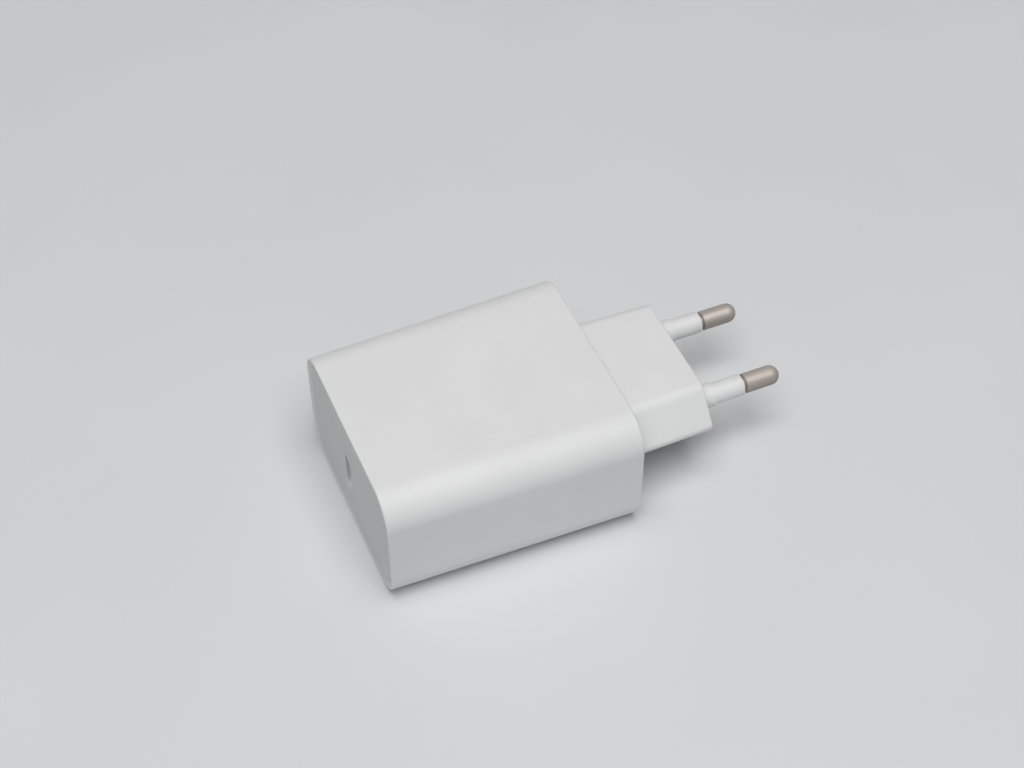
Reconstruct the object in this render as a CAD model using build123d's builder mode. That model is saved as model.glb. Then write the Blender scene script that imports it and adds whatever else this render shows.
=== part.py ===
from build123d import *
import os
from math import hypot, radians, sin

# USB wall charger with a two-pin mains plug, as separate parts in millimetres.
#
# The charger lies on its flat underside. X runs across it, Y runs from the port
# face towards the pins, and Z is up. The origin is on the resting plane, below
# the middle of the overall box.

# ---------------------------------------------------------------- driving sizes

# Housing: a tube that widens towards the plug, closed by a panel and a cover.
body_length = 50.7
front_width = 44.6
rear_width = 47.0
body_height = 27.2
corner_radius = 6.5
wall = 2.2
edge_round = 0.3
rim_width = 1.5            # housing wall that shows around the panel and the cover

# Port face: the rim and the panel slope towards each other in a shallow groove.
panel_thickness = 2.4
panel_bevel = 1.1
groove_depth = 0.38
rim_land = 0.35
seam_gap = 0.05
skirt_thickness = 1.0
skirt_gap = 0.1
panel_skirt_depth = 2.0
slot_length = 9.0
slot_width = 3.3
slot_bevel = 0.2

# Rear cover: a plate with the long six-sided neck of the plug.
cover_thickness = 2.4
cover_skirt_depth = 3.5
neck_length = 18.0
neck_root_half_width = 17.85
neck_end_half_width = 17.5
neck_root_half_height = 7.1
neck_end_half_height = 6.9
neck_facet_width = 5.6      # how far each sloping facet reaches in from the side
neck_wall = 1.8
neck_end_wall = 2.0
neck_crest_round = 2.75
neck_side_round = 1.25
neck_end_round = 0.35
neck_inner_side_round = 1.0

# Pins: a thinner core inside the sleeve, and bare round metal at the tip.
pin_spacing = 18.6
pin_length = 18.3
pin_radius = 2.0
pin_core_radius = 1.5
pin_bevel = 0.25
pin_flange_lip = 1.1
pin_flange_thickness = 1.0
pin_tail_length = 1.0
sleeve_reach = 10.1
sleeve_wall = 0.65
sleeve_end_round = 0.3
collar_reach = 3.8
collar_wall = 0.92
collar_round = 0.1
pin_groove = 0.4            # dark gap between the sleeve and the bare metal
pin_fit = 0.03
carrier_depth = 6.0
carrier_gap = 0.15

# Circuit boards and their supports.
board_thickness = 1.2
board_clearance = 3.2       # from the floor of the housing to the underside
board_side_gap = 0.7
board_end_gap = 0.9
rail_height = 1.2
rail_lap = 0.8
rail_end_gap = 0.5
port_board_thickness = 1.0
port_board_length = 11.4
port_board_gap = 1.2
port_board_above_port = 7.4
lead_tail = 0.8
lead_gap = 0.15

# Port: a pill-shaped metal shell on its side, with the tongue inside it.
shell_fit = 0.03
shell_wall = 0.3
shell_recess = 0.9
shell_depth = 7.6
tongue_thickness = 0.7
tongue_width = 6.7
tongue_recess = 1.0
tongue_base_depth = 2.2
tongue_fit = 0.03
contact_count = 12
contact_pitch = 0.5
contact_width = 0.25
contact_thickness = 0.06
contact_inset = 0.3

# Contact strips between the pins and the main board.
strip_width = 3.0
strip_thickness = 0.4
strip_foot = 1.4
strip_edge_gap = 0.2
strip_drop = 1.7            # how far the run lies below the pin's axis

# Heat spreader, thermal pad and insulation.
spreader_thickness = 0.6
spreader_roof_gap = 0.2
spreader_edge_gap = 0.8
spreader_bend = 2.0
spreader_length = 29.5
pad_thickness = 1.0
pad_margin = 1.0
sheet_thickness = 0.4
sheet_gap = 0.3

# Transformer.
core_width = 20.0
core_depth = 13.0
core_back = 3.0
core_leg = 2.6
core_post_radius = 3.8
bobbin_base = 2.0           # from the board to the underside of the core
bobbin_fit = 0.05
bobbin_tube = 0.6
bobbin_flange = 0.7
bobbin_flange_radius = 7.2
bobbin_rail_depth = 1.8
bobbin_rail_width = 17.0
bobbin_rail_gap = 0.2
bobbin_web_width = 9.0
winding_radius = 6.8
tape_thickness = 0.2
terminal_radius = 0.4
terminal_pitch = 4.0
terminal_count = 4

# Capacitors, fuse and varistor.
bulk_radius = 4.75
bulk_roof_gap = 1.6
bulk_lead_pitch = 5.0
bulk_spacing_gap = 0.5
can_crimp = 0.35
can_round = 0.6
output_radius = 4.0
output_height = 11.5
output_lead_pitch = 3.5
x_cap_width = 12.0
x_cap_thickness = 4.6
x_cap_height = 11.0
x_cap_lead_pitch = 10.0
y_cap_radius = 4.0
y_cap_thickness = 3.6
disc_lead_pitch = 5.0
disc_standoff = 1.2
varistor_radius = 3.5
varistor_thickness = 3.6
fuse_radius = 4.25
fuse_height = 7.5
fuse_lead_pitch = 5.08
lead_radius = 0.3
part_gap = 0.4

# Common-mode choke.
choke_roof_gap = 3.0
choke_ring_depth = 2.75
choke_thickness = 5.0
choke_wire = 0.8
choke_winding_fit = 0.03
choke_winding_angle = 130.0
choke_base_thickness = 1.0
choke_pedestal_gap = 0.9      # from the pedestal to each winding

# Small semiconductor packages: width, depth and height of each.
bridge_size = (7.0, 6.0, 2.5)
switch_size = (8.0, 8.0, 0.9)
controller_size = (5.0, 6.2, 1.5)
rectifier_size = (5.0, 6.0, 1.1)
protocol_size = (4.0, 4.0, 0.9)
opto_size = (4.6, 6.4, 3.5)
package_round = 0.2

# ---------------------------------------------------------------- derived places

overall_length = body_length + neck_length + pin_length
front_y = -overall_length / 2
rear_y = front_y + body_length
neck_end_y = rear_y + neck_length
mid_z = body_height / 2

panel_back_y = front_y + panel_thickness
cover_seat_y = rear_y - cover_thickness
cover_skirt_y = cover_seat_y - cover_skirt_depth
carrier_back_y = neck_end_y - neck_end_wall
carrier_front_y = carrier_back_y - carrier_depth
pin_tail_y = carrier_front_y - pin_flange_thickness - pin_tail_length
pin_flange_radius = pin_core_radius + pin_flange_lip
sleeve_radius = pin_core_radius + pin_fit + sleeve_wall
collar_radius = pin_core_radius + pin_fit + collar_wall

board_z = wall + board_clearance
board_top = board_z + board_thickness
board_front_y = panel_back_y + panel_skirt_depth + rail_end_gap
board_rear_y = cover_seat_y - board_end_gap
board_middle_y = (board_front_y + board_rear_y) / 2


def width_at(y):
    """Outer width of the housing at station y."""
    share = (y - front_y) / body_length
    return front_width + (rear_width - front_width) * share


def inner_half(y):
    """Half the width of the housing's cavity at station y."""
    return width_at(y) / 2 - wall


board_half = inner_half(board_front_y) - board_side_gap
inner_corner = corner_radius - wall
leg_outer = board_half - spreader_edge_gap
leg_inner = leg_outer - spreader_thickness
roof_top = body_height - wall - spreader_roof_gap
roof_under = roof_top - spreader_thickness

shell_half_width = slot_width / 2 - shell_fit
shell_front_y = front_y + shell_recess
shell_back_y = shell_front_y + shell_depth
tongue_tip_y = shell_front_y + tongue_recess
tongue_root_y = shell_back_y - tongue_base_depth
port_board_x = -shell_half_width - port_board_thickness / 2
port_board_front_y = panel_back_y + port_board_gap
port_board_middle_y = port_board_front_y + port_board_length / 2

# Parts on the main board: the mains side is placed from its rear edge.
bulk_height = roof_under - bulk_roof_gap - board_top
strip_foot_y = board_rear_y - strip_edge_gap - strip_foot
x_cap_x = -(leg_inner - part_gap / 2 - x_cap_width / 2)
x_cap_y = strip_foot_y - part_gap - x_cap_thickness / 2
bulk_x = -(leg_inner - part_gap - bulk_radius)
bulk_rear_y = x_cap_y - x_cap_thickness / 2 - part_gap - bulk_radius
bulk_front_y = bulk_rear_y - 2 * bulk_radius - bulk_spacing_gap
fuse_x = leg_inner - part_gap / 2 - fuse_radius
fuse_y = strip_foot_y - part_gap - fuse_radius
choke_winding_radius = (roof_under - choke_roof_gap - board_top - choke_base_thickness) / 2
choke_outer_radius = choke_winding_radius - choke_wire
choke_inner_radius = choke_outer_radius - choke_ring_depth
choke_gap_half_angle = radians(90 - choke_winding_angle / 2)
choke_pedestal_width = 2 * (choke_outer_radius * sin(choke_gap_half_angle) - choke_pedestal_gap)
choke_half_thickness = choke_thickness / 2 + choke_wire
choke_x = x_cap_x + x_cap_width / 2 + part_gap + choke_half_thickness
choke_y = board_rear_y - part_gap - choke_winding_radius
choke_z = board_top + choke_base_thickness + choke_winding_radius
varistor_x = choke_x + choke_half_thickness + part_gap + varistor_radius
varistor_y = strip_foot_y - part_gap - varistor_thickness / 2
bridge_x = choke_x + choke_half_thickness + part_gap + bridge_size[0] / 2
bridge_y = varistor_y - varistor_thickness / 2 - part_gap - bridge_size[1] / 2
bobbin_reach = core_depth / 2 + bobbin_rail_gap + bobbin_rail_depth
transformer_x = leg_inner - part_gap - core_width / 2
mains_front_y = min(
    choke_y - choke_winding_radius,
    bridge_y - max(bridge_size[1], switch_size[1]) / 2,
    fuse_y - fuse_radius,
)
transformer_y = mains_front_y - part_gap - bobbin_reach
core_bottom = board_top + bobbin_base
core_top = roof_under - pad_thickness
core_split = (core_bottom + core_top) / 2
window_bottom = core_bottom + core_back
window_top = core_top - core_back
y_cap_x = bulk_x
y_cap_y = bulk_front_y - bulk_radius - part_gap - y_cap_thickness / 2
spreader_rear_y = cover_skirt_y - sheet_gap
spreader_front_y = spreader_rear_y - spreader_length

# The output side is placed from the front edge.
output_x = -(board_half - part_gap - output_radius)
output_y = board_front_y + 2 * part_gap + output_radius
rectifier_x = shell_half_width + 2 * part_gap + rectifier_size[0]
rectifier_y = board_front_y + part_gap + rectifier_size[1] / 2
opto_x = rectifier_x + rectifier_size[0] / 2 + 2 * part_gap + opto_size[0] / 2
opto_y = rectifier_y + opto_size[1] / 2

rail_offset = bobbin_reach - bobbin_rail_depth / 2
terminal_steps = [index - (terminal_count - 1) / 2 for index in range(terminal_count)]
terminal_points = [
    (transformer_x + step * terminal_pitch, transformer_y + side * rail_offset)
    for side in (-1, 1)
    for step in terminal_steps
]
bulk_lead_points = {
    "front": [(bulk_x, bulk_front_y + side * bulk_lead_pitch / 2) for side in (-1, 1)],
    "rear": [(bulk_x, bulk_rear_y + side * bulk_lead_pitch / 2) for side in (-1, 1)],
}
output_lead_points = [(output_x, output_y + side * output_lead_pitch / 2) for side in (-1, 1)]
x_cap_lead_points = [(x_cap_x + side * x_cap_lead_pitch / 2, x_cap_y) for side in (-1, 1)]
y_cap_lead_points = [(y_cap_x + side * disc_lead_pitch / 2, y_cap_y) for side in (-1, 1)]
varistor_lead_points = [(varistor_x + side * disc_lead_pitch / 2, varistor_y) for side in (-1, 1)]
fuse_lead_points = [(fuse_x, fuse_y + side * fuse_lead_pitch / 2) for side in (-1, 1)]
wire_lead_points = (
    bulk_lead_points["front"]
    + bulk_lead_points["rear"]
    + output_lead_points
    + x_cap_lead_points
    + y_cap_lead_points
    + varistor_lead_points
    + fuse_lead_points
)

os.makedirs("parts", exist_ok=True)


# ---------------------------------------------------------------- shared shapes


def save(builder, name):
    """Label a finished part and write it as parts/NAME.step."""
    builder.part.label = name
    export_step(builder.part, f"parts/{name}.step")


def across(y):
    """Plane across the charger at station y, with X to the right and Z up."""
    return Plane.XZ.offset(-y)


def rounded_section(y, width, height, radius):
    """Rounded rectangle across the charger, centred at mid height."""
    with BuildSketch(across(y)) as outline:
        with Locations((0, mid_z)):
            RectangleRounded(width, height, radius)
    return outline.sketch


def tapered_block(start_y, end_y, inset):
    """Solid that follows the housing's taper, set in from its outer skin."""
    start_half = width_at(start_y) / 2 - inset
    end_half = width_at(end_y) / 2 - inset
    with BuildPart() as block:
        with BuildSketch(Plane.XY.offset(inset)):
            with BuildLine():
                Polyline(
                    (-start_half, start_y),
                    (start_half, start_y),
                    (end_half, end_y),
                    (-end_half, end_y),
                    close=True,
                )
            make_face()
        extrude(amount=body_height - 2 * inset)
        long_edges = block.edges().filter_by(lambda edge: abs(edge.tangent_at(0).Y) > 0.5)
        fillet(long_edges, corner_radius - inset)
    return block.part


def neck_size(y, inset):
    """Half width, crest half width and half height of the neck, set in by a wall."""
    share = (y - rear_y) / neck_length
    half_width = neck_root_half_width + (neck_end_half_width - neck_root_half_width) * share
    half_height = neck_root_half_height + (neck_end_half_height - neck_root_half_height) * share
    slope = neck_facet_width / half_height
    inner_width = half_width - inset * hypot(neck_facet_width, half_height) / half_height
    inner_height = half_height - inset
    return inner_width, inner_width - slope * inner_height, inner_height


def neck_section(y, inset, crest_round, side_round):
    """Six-sided section across the neck, with rounded crests and sides."""
    half_width, crest, half_height = neck_size(y, inset)
    with BuildSketch(across(y)) as outline:
        with BuildLine():
            Polyline(
                (-half_width, mid_z),
                (-crest, mid_z + half_height),
                (crest, mid_z + half_height),
                (half_width, mid_z),
                (crest, mid_z - half_height),
                (-crest, mid_z - half_height),
                close=True,
            )
        make_face()
        corners = outline.vertices().sort_by(Axis.X)
        fillet(corners[1:-1], crest_round)
        fillet(outline.vertices().group_by(Axis.X)[0], side_round)
        fillet(outline.vertices().group_by(Axis.X)[-1], side_round)
    return outline.sketch


def wire_leads(points, top, radius):
    """Add straight leads that pass through the main board and end at a height."""
    bottom = board_z - lead_tail
    with Locations(*[(x, y, bottom) for x, y in points]):
        Cylinder(radius, top - bottom, align=(Align.CENTER, Align.CENTER, Align.MIN))


def package(size, x, y, z):
    """Add a moulded chip package that stands on height z."""
    with Locations((x, y, z)):
        Box(*size, align=(Align.CENTER, Align.CENTER, Align.MIN))


# ---------------------------------------------------------------- housing

# Body shell: a straight tube with a seat at each end and two rails for the board.
with BuildPart() as body_shell:
    add(tapered_block(front_y, rear_y, 0))
    end_faces = body_shell.faces().sort_by(Axis.Y)
    fillet(end_faces[0].edges() + end_faces[-1].edges(), edge_round)
    add(tapered_block(panel_back_y, cover_seat_y, wall), mode=Mode.SUBTRACT)
    extrude(
        rounded_section(
            front_y,
            front_width - 2 * rim_width,
            body_height - 2 * rim_width,
            corner_radius - rim_width,
        ),
        amount=-panel_thickness,
        mode=Mode.SUBTRACT,
    )
    extrude(
        rounded_section(
            rear_y,
            width_at(cover_seat_y) - 2 * rim_width,
            body_height - 2 * rim_width,
            corner_radius - rim_width,
        ),
        amount=cover_thickness,
        mode=Mode.SUBTRACT,
    )
    loft(
        [
            rounded_section(
                front_y,
                front_width - 2 * rim_land,
                body_height - 2 * rim_land,
                corner_radius - rim_land,
            ),
            rounded_section(
                front_y + groove_depth,
                front_width - 2 * rim_width,
                body_height - 2 * rim_width,
                corner_radius - rim_width,
            ),
        ],
        ruled=True,
        mode=Mode.SUBTRACT,
    )
    rail_rear_y = cover_skirt_y - rail_end_gap
    with BuildSketch(Plane.XY.offset(board_z - rail_height)):
        with BuildLine():
            Polyline(
                (board_half - rail_lap, board_front_y),
                (inner_half(board_front_y) + wall / 2, board_front_y),
                (inner_half(rail_rear_y) + wall / 2, rail_rear_y),
                (board_half - rail_lap, rail_rear_y),
                close=True,
            )
        make_face()
        mirror(about=Plane.YZ)
    extrude(amount=rail_height)
save(body_shell, "body_shell")

# Front panel: its edge slopes back into the groove, and a skirt steps into the tube.
with BuildPart() as front_panel:
    panel_width = front_width - 2 * (rim_width + seam_gap)
    panel_height = body_height - 2 * (rim_width + seam_gap)
    panel_corner = corner_radius - rim_width - seam_gap
    groove_y = front_y + groove_depth
    loft(
        [
            rounded_section(
                front_y,
                panel_width - 2 * panel_bevel,
                panel_height - 2 * panel_bevel,
                panel_corner - panel_bevel,
            ),
            rounded_section(groove_y, panel_width, panel_height, panel_corner),
        ],
        ruled=True,
    )
    extrude(
        rounded_section(groove_y, panel_width, panel_height, panel_corner),
        amount=groove_depth - panel_thickness,
    )
    skirt_width = 2 * (inner_half(panel_back_y) - skirt_gap)
    skirt_height = body_height - 2 * (wall + skirt_gap)
    skirt_corner = inner_corner - skirt_gap
    extrude(
        rounded_section(panel_back_y, skirt_width, skirt_height, skirt_corner),
        amount=-panel_skirt_depth,
    )
    extrude(
        rounded_section(
            panel_back_y,
            skirt_width - 2 * skirt_thickness,
            skirt_height - 2 * skirt_thickness,
            skirt_corner - skirt_thickness,
        ),
        amount=-panel_skirt_depth,
        mode=Mode.SUBTRACT,
    )
    with BuildSketch(across(front_y)):
        with Locations((0, mid_z)):
            SlotOverall(slot_length, slot_width, rotation=90)
    extrude(amount=-panel_thickness, mode=Mode.SUBTRACT)
    slot_mouth = front_panel.faces().sort_by(Axis.Y)[0].inner_wires()[0]
    chamfer(slot_mouth.edges(), slot_bevel)
save(front_panel, "front_panel")

# Rear cover: the plate in the tube's rear seat, its skirt and the hollow neck.
with BuildPart() as rear_cover:
    cover_width = width_at(cover_seat_y) - 2 * (rim_width + seam_gap)
    cover_height = body_height - 2 * (rim_width + seam_gap)
    extrude(
        rounded_section(cover_seat_y, cover_width, cover_height, corner_radius - rim_width - seam_gap),
        amount=-cover_thickness,
    )
    loft(
        [
            neck_section(rear_y, 0, neck_crest_round, neck_side_round),
            neck_section(neck_end_y, 0, neck_crest_round, neck_side_round),
        ],
        ruled=True,
    )
    neck_end = rear_cover.faces().sort_by(Axis.Y)[-1]
    fillet(neck_end.edges(), neck_end_round)
    cover_skirt_width = 2 * (inner_half(cover_skirt_y) - skirt_gap)
    cover_skirt_height = body_height - 2 * (wall + skirt_gap)
    cover_skirt_corner = inner_corner - skirt_gap
    extrude(
        rounded_section(cover_skirt_y, cover_skirt_width, cover_skirt_height, cover_skirt_corner),
        amount=-cover_skirt_depth,
    )
    extrude(
        rounded_section(
            cover_skirt_y,
            cover_skirt_width - 2 * skirt_thickness,
            cover_skirt_height - 2 * skirt_thickness,
            cover_skirt_corner - skirt_thickness,
        ),
        amount=-cover_skirt_depth,
        mode=Mode.SUBTRACT,
    )
    loft(
        [
            neck_section(cover_seat_y, neck_wall, neck_crest_round - neck_wall, neck_inner_side_round),
            neck_section(carrier_back_y, neck_wall, neck_crest_round - neck_wall, neck_inner_side_round),
        ],
        ruled=True,
        mode=Mode.SUBTRACT,
    )
    with BuildSketch(across(neck_end_y)):
        with Locations((-pin_spacing / 2, mid_z), (pin_spacing / 2, mid_z)):
            Circle(collar_radius + pin_fit)
    extrude(amount=neck_end_wall, mode=Mode.SUBTRACT)
save(rear_cover, "rear_cover")

# ---------------------------------------------------------------- plug pins

# Pin carrier: the moulded block that fills the end of the neck and holds the pins.
with BuildPart() as pin_carrier:
    carrier_inset = neck_wall + carrier_gap
    loft(
        [
            neck_section(carrier_front_y, carrier_inset, neck_crest_round - neck_wall, neck_inner_side_round),
            neck_section(carrier_back_y, carrier_inset, neck_crest_round - neck_wall, neck_inner_side_round),
        ],
        ruled=True,
    )
    with BuildSketch(across(carrier_back_y)):
        with Locations((-pin_spacing / 2, mid_z), (pin_spacing / 2, mid_z)):
            Circle(pin_core_radius + pin_fit)
    extrude(amount=carrier_depth, mode=Mode.SUBTRACT)
save(pin_carrier, "pin_carrier")

# Pins and sleeves: turned shapes, drawn as a half section beside the pin's own axis.
bare_start_y = neck_end_y + sleeve_reach + pin_groove
tip_centre_y = neck_end_y + pin_length - pin_radius

for side_name, side in (("left", -1), ("right", 1)):
    pin_x = side * pin_spacing / 2
    pin_axis = Axis((pin_x, 0, mid_z), (0, 1, 0))
    pin_plane = Plane(origin=(pin_x, 0, mid_z), x_dir=(1, 0, 0), z_dir=(0, 0, 1))

    with BuildPart() as pin:
        with BuildSketch(pin_plane):
            with BuildLine():
                Polyline(
                    (0, pin_tail_y),
                    (pin_core_radius, pin_tail_y),
                    (pin_core_radius, carrier_front_y - pin_flange_thickness),
                    (pin_flange_radius, carrier_front_y - pin_flange_thickness),
                    (pin_flange_radius, carrier_front_y),
                    (pin_core_radius, carrier_front_y),
                    (pin_core_radius, bare_start_y),
                    (pin_radius - pin_bevel, bare_start_y),
                    (pin_radius, bare_start_y + pin_bevel),
                    (pin_radius, tip_centre_y),
                )
                RadiusArc((pin_radius, tip_centre_y), (0, tip_centre_y + pin_radius), -pin_radius)
                Line((0, tip_centre_y + pin_radius), (0, pin_tail_y))
            make_face()
        revolve(axis=pin_axis)
    save(pin, f"pin_{side_name}")

    with BuildPart() as pin_sleeve:
        with BuildSketch(pin_plane):
            with BuildLine():
                Polyline(
                    (pin_core_radius + pin_fit, carrier_back_y),
                    (collar_radius, carrier_back_y),
                    (collar_radius, neck_end_y + collar_reach),
                    (sleeve_radius, neck_end_y + collar_reach),
                    (sleeve_radius, neck_end_y + sleeve_reach),
                    (pin_core_radius + pin_fit, neck_end_y + sleeve_reach),
                    close=True,
                )
            make_face()
        revolve(axis=pin_axis)
        rings = pin_sleeve.edges().filter_by(GeomType.CIRCLE).group_by(Axis.Y)
        sleeve_end = rings[-1].sort_by(SortBy.RADIUS)[-1]
        collar_end = rings[-2].sort_by(SortBy.RADIUS)[-1]
        fillet(sleeve_end, sleeve_end_round)
        fillet(collar_end, collar_round)
    save(pin_sleeve, f"pin_sleeve_{side_name}")

    # Contact strip: a foot on the board, a riser, a long run and a tab on the pin.
    run_z = mid_z - strip_drop
    half_strip = strip_thickness / 2
    with BuildPart() as contact_strip:
        with BuildSketch(Plane.YZ.offset(pin_x - strip_width / 2)):
            with BuildLine():
                Polyline(
                    (strip_foot_y, board_top + half_strip),
                    (board_rear_y - strip_edge_gap - half_strip, board_top + half_strip),
                    (board_rear_y - strip_edge_gap - half_strip, run_z),
                    (pin_tail_y - half_strip, run_z),
                    (pin_tail_y - half_strip, mid_z + pin_core_radius),
                )
            trace(line_width=strip_thickness)
        extrude(amount=strip_width)
    save(contact_strip, f"contact_strip_{side_name}")

# ---------------------------------------------------------------- boards

# Main board: it lies on the rails, with a hole for each lead.
with BuildPart() as main_board:
    with BuildSketch(Plane.XY.offset(board_z)):
        with Locations((0, board_middle_y)):
            RectangleRounded(2 * board_half, board_rear_y - board_front_y, inner_corner / 4)
        with Locations(*terminal_points):
            Circle(terminal_radius + lead_gap, mode=Mode.SUBTRACT)
        with Locations(*wire_lead_points):
            Circle(lead_radius + lead_gap, mode=Mode.SUBTRACT)
    extrude(amount=board_thickness)
save(main_board, "main_board")

# Port board: it stands on the main board, beside the port.
with BuildPart() as port_board:
    port_board_top = mid_z + port_board_above_port
    with Locations((port_board_x, port_board_middle_y, board_top)):
        Box(
            port_board_thickness,
            port_board_length,
            port_board_top - board_top,
            align=(Align.CENTER, Align.CENTER, Align.MIN),
        )
save(port_board, "port_board")

# Insulation sheet: it lies on the floor of the housing, below the soldered side.
with BuildPart() as insulation_sheet:
    sheet_half = inner_half(board_front_y) - inner_corner - sheet_gap
    sheet_rear_y = cover_skirt_y - sheet_gap
    with Locations((0, board_front_y, wall)):
        Box(
            2 * sheet_half,
            sheet_rear_y - board_front_y,
            sheet_thickness,
            align=(Align.CENTER, Align.MIN, Align.MIN),
        )
save(insulation_sheet, "insulation_sheet")

# ---------------------------------------------------------------- port

# Port shell: a drawn tube, open at both ends, that reaches into the panel's slot.
with BuildPart() as usb_shell:
    shell_length = slot_length - 2 * shell_fit
    with BuildSketch(across(shell_front_y)):
        with Locations((0, mid_z)):
            SlotOverall(shell_length, 2 * shell_half_width, rotation=90)
            SlotOverall(
                shell_length - 2 * shell_wall,
                2 * (shell_half_width - shell_wall),
                rotation=90,
                mode=Mode.SUBTRACT,
            )
    extrude(amount=-shell_depth)
save(usb_shell, "usb_shell")

# Port tongue: the moulding that closes the back of the shell and carries the contacts.
with BuildPart() as usb_tongue:
    block_width = 2 * (shell_half_width - shell_wall - tongue_fit)
    block_length = shell_length - 2 * (shell_wall + tongue_fit)
    with BuildSketch(across(tongue_root_y)):
        with Locations((0, mid_z)):
            SlotOverall(block_length, block_width, rotation=90)
    extrude(amount=-tongue_base_depth)
    with BuildSketch(across(tongue_tip_y)):
        with Locations((0, mid_z)):
            Rectangle(tongue_thickness, tongue_width)
    extrude(amount=tongue_tip_y - tongue_root_y)
    tip_edges = usb_tongue.faces().sort_by(Axis.Y)[0].edges().filter_by(Axis.Z)
    chamfer(tip_edges, tongue_thickness / 5)
save(usb_tongue, "usb_tongue")

# Port contacts: two rows of gold strips, one on each face of the tongue.
with BuildPart() as usb_contacts:
    contact_length = tongue_root_y - tongue_tip_y - 2 * contact_inset
    contact_x = (tongue_thickness + contact_thickness) / 2
    contact_steps = [index - (contact_count - 1) / 2 for index in range(contact_count)]
    for face_side in (-1, 1):
        with Locations((face_side * contact_x, (tongue_root_y + tongue_tip_y) / 2, mid_z)):
            with Locations(*[(0, 0, step * contact_pitch) for step in contact_steps]):
                Box(contact_thickness, contact_length, contact_width)
save(usb_contacts, "usb_contacts")

# ---------------------------------------------------------------- transformer


def core_half(face_z, back_z):
    """One ferrite half: a back plate, two outer legs and a round middle post."""
    direction = 1 if back_z > face_z else -1
    leg_length = abs(back_z - face_z)
    with BuildPart() as half:
        with BuildSketch(Plane.XY.offset(back_z)):
            with Locations((transformer_x, transformer_y)):
                Rectangle(core_width, core_depth)
        extrude(amount=-direction * core_back)
        with BuildSketch(Plane.XY.offset(face_z)):
            leg_offset = (core_width - core_leg) / 2
            with Locations(
                (transformer_x - leg_offset, transformer_y),
                (transformer_x + leg_offset, transformer_y),
            ):
                Rectangle(core_leg, core_depth)
            with Locations((transformer_x, transformer_y)):
                Circle(core_post_radius)
        extrude(amount=direction * leg_length)
    return half.part


with BuildPart() as transformer_core_lower:
    add(core_half(core_split, core_bottom))
save(transformer_core_lower, "transformer_core_lower")

with BuildPart() as transformer_core_upper:
    add(core_half(core_split, core_top))
save(transformer_core_upper, "transformer_core_upper")

# Bobbin: a flanged tube on the middle post, with a rail of terminals at each end.
with BuildPart() as transformer_bobbin:
    tube_radius = core_post_radius + bobbin_fit + bobbin_tube
    flange_low = window_bottom + bobbin_fit
    flange_high = window_top - bobbin_fit
    with BuildSketch(Plane.XY.offset(flange_low)):
        with Locations((transformer_x, transformer_y)):
            Circle(tube_radius)
    extrude(amount=flange_high - flange_low)
    with BuildSketch(Plane.XY.offset(flange_low), Plane.XY.offset(flange_high - bobbin_flange)):
        with Locations((transformer_x, transformer_y)):
            Circle(bobbin_flange_radius)
    extrude(amount=bobbin_flange)
    with BuildSketch(Plane.XY.offset(flange_low)):
        with Locations((transformer_x, transformer_y)):
            Rectangle(bobbin_web_width, 2 * bobbin_reach)
    extrude(amount=bobbin_flange)
    with BuildSketch(Plane.XY.offset(board_top)):
        with Locations(*[(transformer_x, transformer_y + side * rail_offset) for side in (-1, 1)]):
            Rectangle(bobbin_rail_width, bobbin_rail_depth)
        with Locations(*terminal_points):
            Circle(terminal_radius + lead_gap / 5, mode=Mode.SUBTRACT)
    extrude(amount=flange_low + bobbin_flange - board_top)
    with Locations((transformer_x, transformer_y, core_split)):
        Cylinder(core_post_radius + bobbin_fit, core_top - core_bottom, mode=Mode.SUBTRACT)
save(transformer_bobbin, "transformer_bobbin")

# Winding: the wound copper between the flanges.
with BuildPart() as transformer_winding:
    winding_bottom = flange_low + bobbin_flange
    winding_height = flange_high - bobbin_flange - winding_bottom
    with BuildSketch(Plane.XY.offset(winding_bottom)):
        with Locations((transformer_x, transformer_y)):
            Circle(winding_radius)
            Circle(tube_radius, mode=Mode.SUBTRACT)
    extrude(amount=winding_height)
save(transformer_winding, "transformer_winding")

# Tape: the yellow wrap over the winding.
with BuildPart() as transformer_tape:
    with BuildSketch(Plane.XY.offset(winding_bottom)):
        with Locations((transformer_x, transformer_y)):
            Circle(winding_radius + tape_thickness)
            Circle(winding_radius, mode=Mode.SUBTRACT)
    extrude(amount=winding_height)
save(transformer_tape, "transformer_tape")

# Terminals: straight wire pins from the bobbin's rails through the board.
with BuildPart() as transformer_terminals:
    wire_leads(terminal_points, core_bottom, terminal_radius)
save(transformer_terminals, "transformer_terminals")

# ---------------------------------------------------------------- capacitors


def can_capacitor(x, y, radius, height, points):
    """Electrolytic can with a crimp above its base, a rounded top and two leads."""
    crimp_z = 3 * can_crimp
    with BuildPart() as can:
        with BuildSketch(Plane(origin=(x, y, board_top), x_dir=(1, 0, 0), z_dir=(0, -1, 0))):
            with BuildLine():
                Polyline(
                    (0, 0),
                    (radius, 0),
                    (radius, crimp_z),
                    (radius - can_crimp, crimp_z + can_crimp),
                    (radius, crimp_z + 2 * can_crimp),
                    (radius, height - can_round),
                )
                RadiusArc((radius, height - can_round), (radius - can_round, height), -can_round)
                Polyline((radius - can_round, height), (0, height), (0, 0))
            make_face()
        revolve(axis=Axis((x, y, 0), (0, 0, 1)))
        wire_leads(points, board_top + can_crimp, lead_radius)
    return can.part


for end_name, can_y in (("front", bulk_front_y), ("rear", bulk_rear_y)):
    with BuildPart() as bulk_capacitor:
        add(can_capacitor(bulk_x, can_y, bulk_radius, bulk_height, bulk_lead_points[end_name]))
    save(bulk_capacitor, f"bulk_capacitor_{end_name}")

with BuildPart() as output_capacitor:
    add(can_capacitor(output_x, output_y, output_radius, output_height, output_lead_points))
save(output_capacitor, "output_capacitor")

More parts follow.
